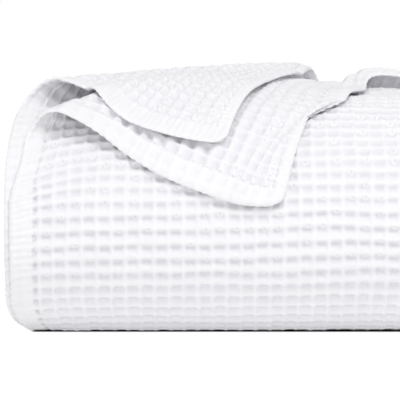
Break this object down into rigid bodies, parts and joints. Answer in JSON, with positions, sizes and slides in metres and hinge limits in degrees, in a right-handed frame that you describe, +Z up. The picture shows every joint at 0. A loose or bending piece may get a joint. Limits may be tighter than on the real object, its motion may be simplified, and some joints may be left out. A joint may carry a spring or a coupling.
{
  "type": "waffle weave cotton blanket",
  "caption": "Folded waffle weave cotton blanket with a soft rounded front fold and the corner of its two top layers turned down over it.",
  "frame": {"origin": "centre of the bounding box in plan, on the surface that the folded blanket lies on", "axes": "+X along the folded front, from the hems at the left to the folds at the right; +Y from the rounded front to the back folds; +Z up"},
  "size_m": [0.383, 0.2232, 0.1628],
  "materials": {
    "cotton": "white woven cotton, matt"
  },
  "bodies": {
    "root": {"blanket": "cotton"}
  },
  "joints": []
}
